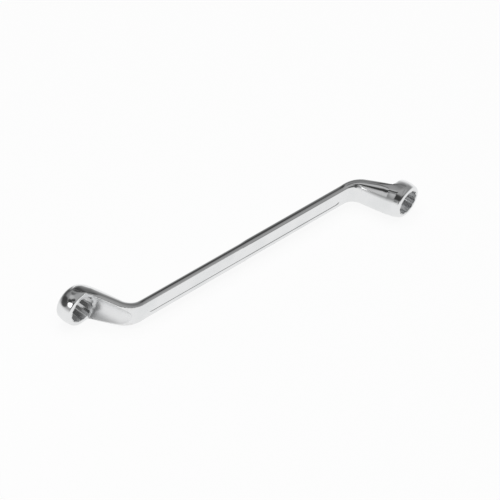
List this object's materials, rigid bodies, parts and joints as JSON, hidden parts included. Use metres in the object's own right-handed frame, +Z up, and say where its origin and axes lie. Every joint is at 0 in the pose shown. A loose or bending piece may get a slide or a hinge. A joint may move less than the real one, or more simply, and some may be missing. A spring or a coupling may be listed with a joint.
{
  "type": "deep offset ring spanner",
  "caption": "Double-ended deep offset ring spanner with twelve-point rings, flared hollow necks and a slim shank with a recessed panel on each broad face.",
  "frame": {"origin": "centre of the bounding box in plan, on the surface that the tool lies on", "axes": "+X along the shank to the smaller ring, +Z up with the tool lying on the narrow side of its rings, ring bores level and close to Y"},
  "size_m": [0.2864, 0.0812, 0.0297],
  "materials": {
    "polished_chrome": "polished"
  },
  "bodies": {
    "root": {"ring_spanner_forging": "polished_chrome"}
  },
  "joints": []
}
